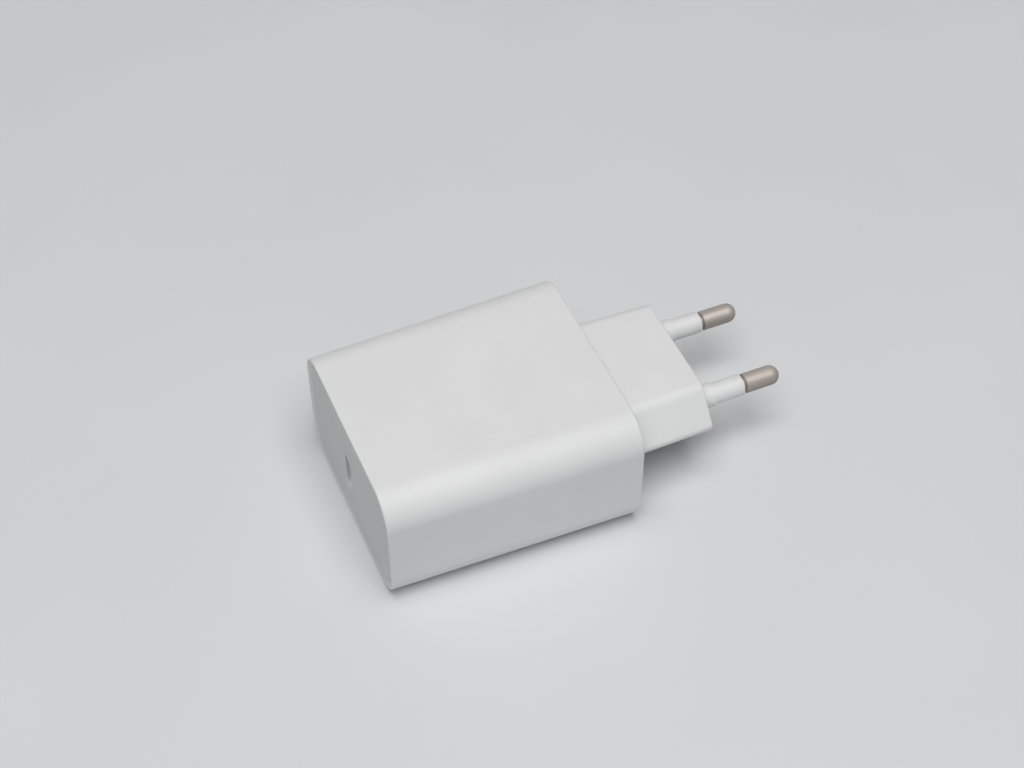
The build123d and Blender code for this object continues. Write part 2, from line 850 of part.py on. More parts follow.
# Mains filter capacitor: a moulded box with rounded upright edges.
with BuildPart() as x_capacitor:
    with BuildSketch(Plane.XY.offset(board_top)):
        with Locations((x_cap_x, x_cap_y)):
            RectangleRounded(x_cap_width, x_cap_thickness, can_round)
    extrude(amount=x_cap_height)
    wire_leads(x_cap_lead_points, board_top + can_crimp, lead_radius)
save(x_capacitor, "x_capacitor")


def disc_part(x, y, radius, thickness, points):
    """Lacquered disc on edge, with rounded rims and two leads."""
    centre_z = board_top + disc_standoff + radius
    with BuildPart() as disc:
        with Locations(Location((x, y, centre_z), (90, 0, 0))):
            Cylinder(radius, thickness)
        fillet(disc.edges().filter_by(GeomType.CIRCLE), thickness / 3)
        wire_leads(points, centre_z - radius / 2, lead_radius)
    return disc.part


with BuildPart() as y_capacitor:
    add(disc_part(y_cap_x, y_cap_y, y_cap_radius, y_cap_thickness, y_cap_lead_points))
save(y_capacitor, "y_capacitor")

with BuildPart() as varistor:
    add(disc_part(varistor_x, varistor_y, varistor_radius, varistor_thickness, varistor_lead_points))
save(varistor, "varistor")

# Fuse: a small upright cartridge.
with BuildPart() as fuse:
    with Locations((fuse_x, fuse_y, board_top)):
        Cylinder(fuse_radius, fuse_height, align=(Align.CENTER, Align.CENTER, Align.MIN))
    fillet(fuse.faces().sort_by(Axis.Z)[-1].edges(), can_round)
    wire_leads(fuse_lead_points, board_top + can_crimp, lead_radius)
save(fuse, "fuse")

# ---------------------------------------------------------------- choke

choke_axis = Axis((0, choke_y, choke_z), (1, 0, 0))
choke_plane = Plane(origin=(choke_x, choke_y, choke_z), x_dir=(1, 0, 0), z_dir=(0, 0, 1))

# Core: a ferrite ring that stands on edge, with its axis across the charger.
with BuildPart() as choke_core:
    with BuildSketch(Plane(origin=(choke_x - choke_thickness / 2, choke_y, choke_z), z_dir=(1, 0, 0))):
        Circle(choke_outer_radius)
        Circle(choke_inner_radius, mode=Mode.SUBTRACT)
    extrude(amount=choke_thickness)
save(choke_core, "choke_core")

# Windings: a sleeve of wire around the front and the rear of the ring.
for end_name, direction in (("front", -1), ("rear", 1)):
    with BuildPart() as choke_winding:
        ring_middle = (choke_outer_radius + choke_inner_radius) / 2
        ring_depth = choke_outer_radius - choke_inner_radius
        with BuildSketch(choke_plane):
            with Locations((0, direction * ring_middle)):
                Rectangle(choke_thickness + 2 * choke_wire, ring_depth + 2 * choke_wire)
                Rectangle(
                    choke_thickness + 2 * choke_winding_fit,
                    ring_depth + 2 * choke_winding_fit,
                    mode=Mode.SUBTRACT,
                )
        revolve(axis=choke_axis, revolution_arc=choke_winding_angle / 2)
        mirror(about=Plane.XY.offset(choke_z))
    save(choke_winding, f"choke_winding_{end_name}")

# Base: a plate on the board, with a pedestal between the two windings.
with BuildPart() as choke_base:
    with Locations((choke_x, choke_y, board_top)):
        Box(
            choke_thickness,
            2 * choke_outer_radius,
            choke_base_thickness / 2,
            align=(Align.CENTER, Align.CENTER, Align.MIN),
        )
        Box(
            choke_thickness,
            choke_pedestal_width,
            choke_z - choke_outer_radius - board_top,
            align=(Align.CENTER, Align.CENTER, Align.MIN),
        )
save(choke_base, "choke_base")

# ---------------------------------------------------------------- semiconductors

with BuildPart() as bridge_rectifier:
    package(bridge_size, bridge_x, bridge_y, board_top)
    chamfer(bridge_rectifier.faces().sort_by(Axis.Z)[-1].edges(), package_round)
save(bridge_rectifier, "bridge_rectifier")

with BuildPart() as primary_switch:
    package(switch_size, bridge_x, bridge_y, board_z - switch_size[2])
    chamfer(primary_switch.faces().sort_by(Axis.Z)[0].edges(), package_round)
save(primary_switch, "primary_switch")

with BuildPart() as controller_ic:
    package(controller_size, -bridge_x, bridge_y, board_z - controller_size[2])
    chamfer(controller_ic.faces().sort_by(Axis.Z)[0].edges(), package_round)
save(controller_ic, "controller_ic")

with BuildPart() as sync_rectifier:
    package(rectifier_size, rectifier_x, rectifier_y, board_top)
    chamfer(sync_rectifier.faces().sort_by(Axis.Z)[-1].edges(), package_round)
save(sync_rectifier, "sync_rectifier")

with BuildPart() as optocoupler:
    package(opto_size, opto_x, opto_y, board_top)
    chamfer(optocoupler.faces().sort_by(Axis.Z)[-1].edges(), package_round)
save(optocoupler, "optocoupler")

# Protocol chip: flat against the side of the port board that faces away from the port.
with BuildPart() as protocol_ic:
    protocol_x = port_board_x - (port_board_thickness + protocol_size[2]) / 2
    with Locations((protocol_x, port_board_middle_y, mid_z)):
        Box(protocol_size[2], protocol_size[0], protocol_size[1])
    chamfer(protocol_ic.faces().sort_by(Axis.X)[0].edges(), package_round)
save(protocol_ic, "protocol_ic")

# ---------------------------------------------------------------- heat path

# Heat spreader: a folded sheet over the parts, with its two legs on the board.
with BuildPart() as heat_spreader:
    with BuildSketch(across(spreader_front_y)):
        with BuildLine():
            FilletPolyline(
                (-leg_outer + spreader_thickness / 2, board_top),
                (-leg_outer + spreader_thickness / 2, roof_top - spreader_thickness / 2),
                (leg_outer - spreader_thickness / 2, roof_top - spreader_thickness / 2),
                (leg_outer - spreader_thickness / 2, board_top),
                radius=spreader_bend - spreader_thickness / 2,
            )
        trace(line_width=spreader_thickness)
    extrude(amount=-spreader_length)
save(heat_spreader, "heat_spreader")

# Thermal pad: it fills the gap between the transformer and the spreader.
with BuildPart() as thermal_pad:
    with Locations((transformer_x, transformer_y, core_top)):
        Box(
            core_width - 2 * pad_margin,
            core_depth - 2 * pad_margin,
            pad_thickness,
            align=(Align.CENTER, Align.CENTER, Align.MIN),
        )
save(thermal_pad, "thermal_pad")
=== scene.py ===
"""Looks of a small USB wall charger with a flat two-pin mains plug.

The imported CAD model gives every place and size. This script dresses its pieces,
winds the copper as separate turns of wire, adds the small soldered parts, and
sets a plain studio around them. Lengths are in metres, and size fields whose
names end in _mm are in millimetres.
"""

import logging
import math
from dataclasses import dataclass
from enum import Enum

import bmesh
import bpy
from mathutils import Euler, Matrix, Vector

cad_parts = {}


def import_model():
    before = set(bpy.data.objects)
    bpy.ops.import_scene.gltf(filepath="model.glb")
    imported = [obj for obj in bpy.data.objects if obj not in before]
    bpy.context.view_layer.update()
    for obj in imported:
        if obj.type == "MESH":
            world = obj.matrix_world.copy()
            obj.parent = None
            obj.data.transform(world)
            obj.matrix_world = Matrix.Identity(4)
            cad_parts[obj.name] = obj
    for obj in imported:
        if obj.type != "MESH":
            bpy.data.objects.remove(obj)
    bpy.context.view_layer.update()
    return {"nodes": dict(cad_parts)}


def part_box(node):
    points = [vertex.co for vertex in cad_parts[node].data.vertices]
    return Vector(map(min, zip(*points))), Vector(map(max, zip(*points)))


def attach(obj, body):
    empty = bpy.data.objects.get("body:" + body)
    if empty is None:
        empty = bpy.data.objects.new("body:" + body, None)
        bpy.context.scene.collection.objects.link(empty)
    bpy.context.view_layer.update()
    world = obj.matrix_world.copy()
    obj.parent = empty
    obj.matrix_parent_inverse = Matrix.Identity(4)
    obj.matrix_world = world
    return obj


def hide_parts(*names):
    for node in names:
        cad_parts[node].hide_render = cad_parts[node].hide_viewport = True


MM = 0.001
# Bands that a wave texture of scale 1 holds in one unit of length.
WAVE_BANDS = 20 / math.tau
# Vertices nearer than this are one, and edges sharper than this stay crisp.
MERGE_MM = 0.001
CRISP_DEGREES = 40
LOG = logging.getLogger("charger")


# ---------------------------------------------------------------- shared tools


def linear(code: str) -> tuple[float, float, float, float]:
    """Turn an sRGB hex colour into the linear values that a shader reads.

    Args:
        code: Six hex digits after a hash sign.

    Returns:
        Linear red, green and blue, and an alpha of 1.
    """
    shares = [int(code[place : place + 2], 16) / 255 for place in (1, 3, 5)]
    values = [s / 12.92 if s <= 0.04045 else ((s + 0.055) / 1.055) ** 2.4 for s in shares]
    return values[0], values[1], values[2], 1.0


def grey(level: float) -> tuple[float, float, float, float]:
    """Give a linear grey for a ramp that drives a plain value."""
    return level, level, level, 1.0


def add_node(
    tree: bpy.types.NodeTree,
    kind: str,
    inputs: dict[str | int, object] | None = None,
    stops: tuple[tuple[float, tuple[float, float, float, float]], ...] = (),
    **settings: object,
) -> bpy.types.Node:
    """Add a node, apply its settings, and set or link its inputs.

    Args:
        tree: The material's node tree.
        kind: The node's type name.
        inputs: Socket name or number to a value, or to an output to link from.
        stops: Place and linear colour of each stop, where the node is a colour ramp.
        **settings: Properties of the node itself.

    Returns:
        The new node.
    """
    node = tree.nodes.new(kind)
    for name, value in settings.items():
        setattr(node, name, value)
    for name, value in (inputs or {}).items():
        socket = node.inputs[name]
        if isinstance(value, bpy.types.NodeSocket):
            tree.links.new(value, socket)
        else:
            socket.default_value = value
    for index, (place, colour) in enumerate(stops):
        elements = node.color_ramp.elements
        element = elements[index] if index < len(elements) else elements.new(place)
        element.position = place
        element.color = colour
    return node


def per_metre(size_mm: float) -> float:
    """Give the texture scale at which one cell of a pattern has a size in millimetres."""
    return 1.0 / (size_mm * MM)


# ---------------------------------------------------------------- finishes


class Grain(Enum):
    """The way in which a pattern is drawn out: evenly, or along one axis."""

    EVEN = (1.0, 1.0, 1.0)
    ALONG_X = (0.04, 1.0, 1.0)
    ALONG_Y = (1.0, 0.04, 1.0)
    ALONG_Z = (1.0, 1.0, 0.04)


@dataclass(frozen=True)
class Finish:
    """A surface with two tones in soft patches, a fine grain and an uneven polish."""

    name: str
    light: str
    dark: str
    roughness: float = 0.45
    polish_spread: float = 0.04
    metallic: float = 0.0
    ior: float = 1.5
    coat: float = 0.0
    patch_mm: float = 14.0
    grain_mm: float = 0.3
    grain_depth_mm: float = 0.004
    grain: Grain = Grain.EVEN
    relief_strength: float = 0.6
    coat_roughness: float = 0.08

    def material(self) -> bpy.types.Material:
        """Build the material.

        Returns:
            The finished node material.
        """
        material = bpy.data.materials.new(self.name)
        material.use_nodes = True
        tree = material.node_tree
        tree.nodes.clear()
        shader = add_node(tree, "ShaderNodeBsdfPrincipled")
        add_node(tree, "ShaderNodeOutputMaterial", {"Surface": shader.outputs["BSDF"]})
        place = add_node(tree, "ShaderNodeTexCoord").outputs["Object"]
        drawn = add_node(tree, "ShaderNodeMapping", {"Vector": place, "Scale": self.grain.value})
        patches = self.patches(tree, place, drawn.outputs["Vector"])
        relief = self.relief(tree, place, drawn.outputs["Vector"])
        tone = add_node(
            tree,
            "ShaderNodeValToRGB",
            {"Fac": patches},
            stops=((0.34, linear(self.dark)), (0.66, linear(self.light))),
        )
        polish = add_node(
            tree,
            "ShaderNodeValToRGB",
            {"Fac": relief},
            stops=(
                (0.3, grey(self.roughness - self.polish_spread)),
                (0.7, grey(self.roughness + self.polish_spread)),
            ),
        )
        bump = add_node(
            tree,
            "ShaderNodeBump",
            {
                "Height": relief,
                "Distance": self.grain_depth_mm * MM,
                "Strength": self.relief_strength,
            },
        )
        tree.links.new(tone.outputs["Color"], shader.inputs["Base Color"])
        tree.links.new(polish.outputs["Color"], shader.inputs["Roughness"])
        tree.links.new(bump.outputs["Normal"], shader.inputs["Normal"])
        shader.inputs["Metallic"].default_value = self.metallic
        shader.inputs["Coat Weight"].default_value = self.coat
        shader.inputs["Coat Roughness"].default_value = self.coat_roughness
        if not self.metallic:
            shader.inputs["IOR"].default_value = self.ior
        self.finish_shader(shader)
        return material

    def patches(
        self, tree: bpy.types.NodeTree, place: bpy.types.NodeSocket, drawn: bpy.types.NodeSocket
    ) -> bpy.types.NodeSocket:
        """Give the share of the light tone over the surface.

        Args:
            tree: The material's node tree.
            place: Object coordinates.
            drawn: Object coordinates drawn out along the grain.

        Returns:
            A value from 0 to 1.
        """
        noise = add_node(
            tree,
            "ShaderNodeTexNoise",
            {"Vector": drawn, "Scale": per_metre(self.patch_mm), "Detail": 3.0, "Roughness": 0.45},
        )
        return noise.outputs["Fac"]

    def relief(
        self, tree: bpy.types.NodeTree, place: bpy.types.NodeSocket, drawn: bpy.types.NodeSocket
    ) -> bpy.types.NodeSocket:
        """Give the height of the surface's fine relief.

        Args:
            tree: The material's node tree.
            place: Object coordinates.
            drawn: Object coordinates drawn out along the grain.

        Returns:
            A value from 0 to 1.
        """
        noise = add_node(
            tree,
            "ShaderNodeTexNoise",
            {"Vector": drawn, "Scale": per_metre(self.grain_mm), "Detail": 2.0, "Roughness": 0.6},
        )
        return noise.outputs["Fac"]

    def finish_shader(self, shader: bpy.types.Node) -> None:
        """Set what this finish alone needs on the shader."""


@dataclass(frozen=True)
class MouldedPlastic(Finish):
    """Injection-moulded thermoplastic from a fine spark-eroded tool.

    The eye gets a soft satin sheen, a fine even grain, faint tone changes from the
    flow of the melt, and a little light that goes into the wall.
    """

    ior: float = 1.58
    glow: float = 0.0
    glow_depth_mm: float = 0.6
    glow_colour: tuple[float, float, float] = (1.0, 0.95, 0.85)

    def finish_shader(self, shader: bpy.types.Node) -> None:
        """Let a little light into the wall."""
        shader.inputs["Subsurface Weight"].default_value = self.glow
        shader.inputs["Subsurface Radius"].default_value = self.glow_colour
        shader.inputs["Subsurface Scale"].default_value = self.glow_depth_mm * MM


@dataclass(frozen=True)
class TurnedMetal(Finish):
    """Metal turned on a lathe about the Y axis and then plated.

    The eye gets fine rings across the pin, softened by the plate.
    """

    metallic: float = 1.0
    ring_mm: float = 0.12

    def relief(
        self, tree: bpy.types.NodeTree, place: bpy.types.NodeSocket, drawn: bpy.types.NodeSocket
    ) -> bpy.types.NodeSocket:
        """Give the turning rings, a little uneven."""
        rings = add_node(
            tree,
            "ShaderNodeTexWave",
            {
                "Vector": place,
                "Scale": per_metre(self.ring_mm * WAVE_BANDS),
                "Distortion": 1.5,
                "Detail": 2.0,
            },
            wave_type="BANDS",
            bands_direction="Y",
        )
        return rings.outputs["Fac"]


@dataclass(frozen=True)
class SolderMask(Finish):
    """Solder mask over etched copper on glass epoxy.

    The eye gets paler tracks with square bends, a darker ground between them, and a
    low step along each track's edge.
    """

    coat: float = 0.5
    track_mm: float = 2.4

    def patches(
        self, tree: bpy.types.NodeTree, place: bpy.types.NodeSocket, drawn: bpy.types.NodeSocket
    ) -> bpy.types.NodeSocket:
        """Give the tracks: cells with square sides, cut to their borders."""
        return self.tracks(tree, place)

    def relief(
        self, tree: bpy.types.NodeTree, place: bpy.types.NodeSocket, drawn: bpy.types.NodeSocket
    ) -> bpy.types.NodeSocket:
        """Give the same tracks as a low step."""
        return self.tracks(tree, place)

    def tracks(self, tree: bpy.types.NodeTree, place: bpy.types.NodeSocket) -> bpy.types.NodeSocket:
        """Give the share of track at each point.

        Args:
            tree: The material's node tree.
            place: Object coordinates.

        Returns:
            A value from 0, bare ground, to 1, track.
        """
        cells = add_node(
            tree,
            "ShaderNodeTexVoronoi",
            {"Vector": place, "Scale": per_metre(self.track_mm), "Randomness": 0.7},
            distance="CHEBYCHEV",
        )
        edge = add_node(
            tree,
            "ShaderNodeValToRGB",
            {"Fac": cells.outputs["Distance"]},
            stops=((0.36, grey(0.0)), (0.42, grey(1.0))),
        )
        return edge.outputs["Color"]


@dataclass(frozen=True)
class ShrinkSleeve(Finish):
    """Printed shrink sleeve on an aluminium can, with a pale stripe down one side.

    The eye gets a glossy dark film and one stripe that marks a lead.
    """

    coat: float = 0.4
    middle: tuple[float, float] = (0.0, 0.0)
    stripe_share: float = 0.16

    def patches(
        self, tree: bpy.types.NodeTree, place: bpy.types.NodeSocket, drawn: bpy.types.NodeSocket
    ) -> bpy.types.NodeSocket:
        """Give the stripe: a range of angles about the can's own axis."""
        centred = add_node(
            tree,
            "ShaderNodeMapping",
            {"Vector": place, "Location": (-self.middle[0], -self.middle[1], 0.0)},
        )
        parts = add_node(tree, "ShaderNodeSeparateXYZ", {"Vector": centred.outputs["Vector"]})
        angle = add_node(
            tree,
            "ShaderNodeMath",
            {0: parts.outputs["Y"], 1: parts.outputs["X"]},
            operation="ARCTAN2",
        )
        half = self.stripe_share * math.pi
        before_end = add_node(
            tree,
            "ShaderNodeMath",
            {0: angle.outputs[0], 1: half},
            operation="LESS_THAN",
        )
        past_start = add_node(
            tree,
            "ShaderNodeMath",
            {0: angle.outputs[0], 1: -half},
            operation="GREATER_THAN",
        )
        stripe = add_node(
            tree,
            "ShaderNodeMath",
            {0: before_end.outputs[0], 1: past_start.outputs[0]},
            operation="MULTIPLY",
        )
        return stripe.outputs[0]


@dataclass(frozen=True)
class WoundTape(Finish):
    """Polyester tape wound in layers about the Z axis.

    The eye gets a glossy film with the faint edge of each layer.
    """

    coat: float = 0.3
    layer_mm: float = 1.2

    def relief(
        self, tree: bpy.types.NodeTree, place: bpy.types.NodeSocket, drawn: bpy.types.NodeSocket
    ) -> bpy.types.NodeSocket:
        """Give a step at the edge of each layer."""
        layers = add_node(
            tree,
            "ShaderNodeTexWave",
            {
                "Vector": place,
                "Scale": per_metre(self.layer_mm * WAVE_BANDS),
                "Distortion": 0.3,
            },
            wave_type="BANDS",
            bands_direction="Z",
            wave_profile="SAW",
        )
        return layers.outputs["Fac"]


# Moulded polycarbonate: neutral white, satin, with a hint of flow marks.
HOUSING = MouldedPlastic("moulded_white_polycarbonate", "#DADADA", "#D7D7D7", 0.58, glow=0.04)
# The same plastic painted darker: painted shade for the port face, which faces away from the light.
PANEL_PAINTED_SHADE = MouldedPlastic("moulded_white_port_panel_painted_shade", "#CCCCCC", "#C9C9C9", 0.55, glow=0.04)
# Pin insulation: the same white, a little glossier.
SLEEVE = MouldedPlastic(
    "moulded_white_pin_sleeve", "#DADADA", "#D6D6D6", 0.5, patch_mm=3.0, glow=0.04
)
# Glass-filled polyester: duller and speckled by its fibres.
CARRIER = MouldedPlastic("glass_filled_white_polyester", "#CFCEC8", "#C2C1BA", 0.6, patch_mm=1.2)
# Nickel plate on turned brass: a warm, blurred mirror with fine rings.
NICKEL = TurnedMetal(
    "satin_nickel_plate", "#AAA39D", "#9C958F", 0.58, 0.05, patch_mm=1.1, grain=Grain.ALONG_Y
)
# Rolled brass strip: yellow, with lines along its run.
BRASS = Finish(
    "rolled_brass_strip", "#D8B45C", "#C49C46", 0.28, metallic=1.0,
    grain_mm=0.12, grain=Grain.ALONG_Y,
)
# Solder mask on glass epoxy: green and glossy, with paler tracks.
BOARD = SolderMask("green_solder_mask", "#2F7A45", "#1C5830", 0.35)
# Drawn stainless steel: cool grey with draw lines along its depth.
STEEL = Finish(
    "drawn_stainless_steel", "#D6D7D8", "#C6C8CA", 0.4, metallic=1.0,
    grain_mm=0.1, grain=Grain.ALONG_Y,
)
# Liquid crystal polymer: black and matt, with pale flow veins.
PORT_BLACK = MouldedPlastic("moulded_black_polymer", "#2B2B2C", "#1F1F20", 0.5, patch_mm=1.5)
# Hard gold plate over nickel: bright, barely worn.
GOLD = Finish(
    "hard_gold_plate", "#E6BE6A", "#D8AC55", 0.22, metallic=1.0, patch_mm=0.8, grain_mm=0.1
)
# Ground ferrite: charcoal ceramic with fine pits.
FERRITE = Finish("ground_ferrite", "#48484A", "#343436", 0.55, ior=2.0, patch_mm=1.0, grain_mm=0.2)
# Epoxy paint on a ferrite ring: glossy green with a slight orange peel.
RING_PAINT = Finish(
    "green_epoxy_paint", "#2E7A55", "#246546", 0.3, coat=0.5, patch_mm=2.0, grain_mm=0.9
)
# Phenolic bobbin: brown-black and glass-filled.
PHENOLIC = MouldedPlastic("black_phenolic", "#302D2B", "#232120", 0.5, patch_mm=1.4)
# Enamelled copper wire: a red-brown metal under clear varnish.
COPPER = Finish(
    "enamelled_copper_wire", "#C8703C", "#A95628", 0.25, metallic=1.0, coat=0.6, patch_mm=2.0
)
# Polyester tape: yellow and glossy, with the edge of each layer.
TAPE = WoundTape("yellow_polyester_tape", "#E2B92F", "#D6AB22", 0.3)
# Tinned copper: pale grey, dipped, slightly lumpy.
TINNED = Finish(
    "tinned_copper_wire", "#C9C9C6", "#B5B5B1", 0.3, metallic=1.0, patch_mm=0.8, grain_mm=0.3
)
# Moulded polypropylene box: mustard yellow, satin.
FILM_BOX = MouldedPlastic("moulded_yellow_polypropylene", "#D9AE33", "#CDA127", 0.4, patch_mm=5.0)
# Dipped epoxy: blue, glossy, with the dip's uneven thickness.
LACQUER = Finish(
    "dipped_blue_epoxy", "#2A5FB4", "#1E4C98", 0.2, coat=0.8, patch_mm=3.0,
    grain_mm=1.1, grain_depth_mm=0.02,
)
# Moulded brown fuse case: glossy.
FUSE_CASE = MouldedPlastic("moulded_brown_thermoset", "#5A3A2A", "#4A2E21", 0.25, patch_mm=3.0)
# Transfer-moulded epoxy: black, matt, fine silica speckle.
CHIP = Finish("black_moulding_compound", "#2C2D2F", "#212224", 0.6, patch_mm=0.3, grain_mm=0.15)
# Rolled aluminium sheet: pale, with rolling lines along the charger.
ALUMINIUM = Finish(
    "rolled_aluminium_sheet", "#D3D5D7", "#C2C4C7", 0.35, metallic=1.0,
    grain_mm=0.15, grain=Grain.ALONG_Y,
)
# Filled silicone: soft grey and chalky.
SILICONE = Finish(
    "grey_filled_silicone", "#93A0AC", "#84919D", 0.7, ior=1.41, patch_mm=1.5, grain_mm=0.4
)
# Solder: bright tin with the dull skin of a slow cool.
SOLDER = Finish(
    "tin_solder", "#D0D1D0", "#A9AAA8", 0.28, 0.08, metallic=1.0, patch_mm=0.7, grain_mm=0.4
)
# Ceramic body of a small capacitor: tan, matt.
CERAMIC = Finish("tan_ceramic", "#B4926A", "#A5835C", 0.5, ior=1.7, patch_mm=0.4)


@dataclass(frozen=True)
class MilkyFilm(Finish):
    """Polyester film, calendered, that lets some light through.

    The eye gets a pale milky sheet with faint streaks.
    """

    def finish_shader(self, shader: bpy.types.Node) -> None:
        """Let part of the light through."""
        shader.inputs["Transmission Weight"].default_value = 0.25


# Polyester film: milky, lets some light through.
FILM = MilkyFilm(
    "milky_polyester_film", "#D5D6CC", "#C8C9BE", 0.4, patch_mm=4.0, grain=Grain.ALONG_X
)


# ---------------------------------------------------------------- shaping


@dataclass(frozen=True)
class Extent:
    """The box of a CAD node at rest, in metres."""

    low: Vector
    high: Vector

    @classmethod
    def of(cls, node: str) -> "Extent":
        """Read the box of a CAD node by its name."""
        low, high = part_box(node)
        return cls(low, high)

    @property
    def middle(self) -> Vector:
        """The box's centre."""
        return (self.low + self.high) / 2

    @property
    def size(self) -> Vector:
        """The box's three sizes."""
        return self.high - self.low


def boundary(verts: list[bmesh.types.BMVert]) -> list[bmesh.types.BMEdge]:
    """List the edges that touch some vertices, each once."""
    return list(dict.fromkeys(edge for vert in verts for edge in vert.link_edges))


def inner_edges(verts: list[bmesh.types.BMVert]) -> list[bmesh.types.BMEdge]:
    """List the edges whose two ends are both among some vertices."""
    return [edge for edge in boundary(verts) if edge.verts[0] in verts and edge.verts[1] in verts]


def lathe(
    shape: bmesh.types.BMesh, points: list[tuple[float, float]], place: Vector, steps: int = 16
) -> None:
    """Turn a line of radius and height points about an upright axis.

    Args:
        shape: The mesh to add to.
        points: Radius and height of each point, from the bottom up or the top down.
        place: Where the axis stands.
        steps: Sides of the round shape.
    """
    verts = [shape.verts.new(place + Vector((radius, 0.0, height))) for radius, height in points]
    edges = [shape.edges.new(pair) for pair in zip(verts, verts[1:])]
    bmesh.ops.spin(
        shape,
        geom=verts + edges,
        cent=place,
        axis=(0.0, 0.0, 1.0),
        angle=math.tau,
        steps=steps,
        use_merge=True,
    )


def wire_ring(shape: bmesh.types.BMesh, middle: Vector, radius: float, wire: float) -> None:
    """Add one closed turn of round wire about an upright axis.

    Args:
        shape: The mesh to add to.
        middle: The turn's centre.
        radius: From the axis to the wire's own centre.
        wire: The wire's radius.
    """
    side = Matrix.Translation(middle + Vector((radius, 0.0, 0.0)))
    start = side @ Matrix.Rotation(math.pi / 2, 4, "X")
    verts = bmesh.ops.create_circle(shape, segments=8, radius=wire, matrix=start)["verts"]
    bmesh.ops.spin(
        shape,
        geom=verts + boundary(verts),
        cent=middle,
        axis=(0.0, 0.0, 1.0),
        angle=math.tau,
        steps=48,
        use_merge=True,
    )


def bent_strip(
    shape: bmesh.types.BMesh, points: list[Vector], across: Vector, thickness: float
) -> None:
    """Add a strip of sheet metal that follows a line of points.

    Args:
        shape: The mesh to add to.
        points: The middle line of the strip's face.
        across: From one side of the strip to the other.
        thickness: The sheet's thickness.
    """
    verts = [shape.verts.new(points[0] + across * share) for share in (-0.5, 0.5)]
    edges = [shape.edges.new(verts)]
    faces = []
    for start, end in zip(points, points[1:]):
        made = bmesh.ops.extrude_edge_only(shape, edges=edges)["geom"]
        moved = [item for item in made if isinstance(item, bmesh.types.BMVert)]
        faces += [item for item in made if isinstance(item, bmesh.types.BMFace)]
        edges = inner_edges(moved)
        bmesh.ops.translate(shape, verts=moved, vec=end - start)
    bmesh.ops.solidify(shape, geom=faces, thickness=thickness)


def soft_block(shape: bmesh.types.BMesh, middle: Vector, size: Vector, rounding: float) -> None:
    """Add a block with rounded edges.

    Args:
        shape: The mesh to add to.
        middle: The block's centre.
        size: Its three sizes.
        rounding: The radius of its edges.
    """
    scale = Matrix.Translation(middle) @ Matrix.Diagonal((*size, 1.0))
    verts = bmesh.ops.create_cube(shape, size=1.0, matrix=scale)["verts"]
    bmesh.ops.bevel(
        shape,
        geom=boundary(verts),
        offset=rounding,
        segments=2,
        profile=0.5,
        affect="EDGES",
        material=-1,
    )


@dataclass
class SubAssembly:
    """A group of pieces that is dressed and detailed together."""

    nodes: dict[str, bpy.types.Object]

    def dress(self, finish: Finish, *names: str) -> None:
        """Give CAD pieces one finish in place of any that they have.

        Args:
            finish: The finish.
            *names: The CAD nodes.
        """
        material = finish.material()
        for name in names:
            slots = self.nodes[name].data.materials
            slots.clear()
            slots.append(material)
            LOG.info("dressed %s in %s", name, finish.name)

    def add_piece(
        self,
        name: str,
        shape: bmesh.types.BMesh,
        finish: Finish,
        slot: str,
        stands_for: tuple[str, ...] = (),
    ) -> None:
        """Close a shape, make it an object, dress it and mount it.

        Args:
            name: The piece's name.
            shape: Its mesh, which is freed.
            finish: Its finish.
            slot: Not used.
            stands_for: CAD nodes that it hides.
        """
        bmesh.ops.remove_doubles(shape, verts=shape.verts, dist=MERGE_MM * MM)
        bmesh.ops.recalc_face_normals(shape, faces=shape.faces)
        mesh = bpy.data.meshes.new(name)
        shape.to_mesh(mesh)
        shape.free()
        mesh.shade_smooth()
        mesh.set_sharp_from_angle(angle=math.radians(CRISP_DEGREES))
        mesh.materials.append(finish.material())
        piece = bpy.data.objects.new(name, mesh)
        bpy.context.scene.collection.objects.link(piece)
        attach(piece, "root")
        if stands_for:
            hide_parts(*stands_for)
        LOG.info("made %s: %d faces in %s", name, len(mesh.polygons), finish.name)


# ---------------------------------------------------------------- outside


@dataclass
class Housing(SubAssembly):
    """The tube, the port panel and the rear cover with the plug's neck."""

    def build(self) -> None:
        """Dress the housing's three mouldings."""
        self.dress(HOUSING, "body_shell", "rear_cover")
        # The port panel takes the darker copy of the white, which is painted shade.
        self.dress(PANEL_PAINTED_SHADE, "front_panel")


@dataclass
class PlugPins(SubAssembly):
    """The two mains pins with their insulation, carrier and contact strips."""

    def build(self) -> None:
        """Dress the pins and what holds them."""
        self.dress(NICKEL, "pin_left", "pin_right")
        self.dress(SLEEVE, "pin_sleeve_left", "pin_sleeve_right")
        self.dress(CARRIER, "pin_carrier")
        self.dress(BRASS, "contact_strip_left", "contact_strip_right")


@dataclass
class Port(SubAssembly):
    """The port's shell, tongue and contacts."""

    def build(self) -> None:
        """Dress the port."""
        self.dress(STEEL, "usb_shell")
        self.dress(PORT_BLACK, "usb_tongue")
        self.dress(GOLD, "usb_contacts")


# ---------------------------------------------------------------- inside


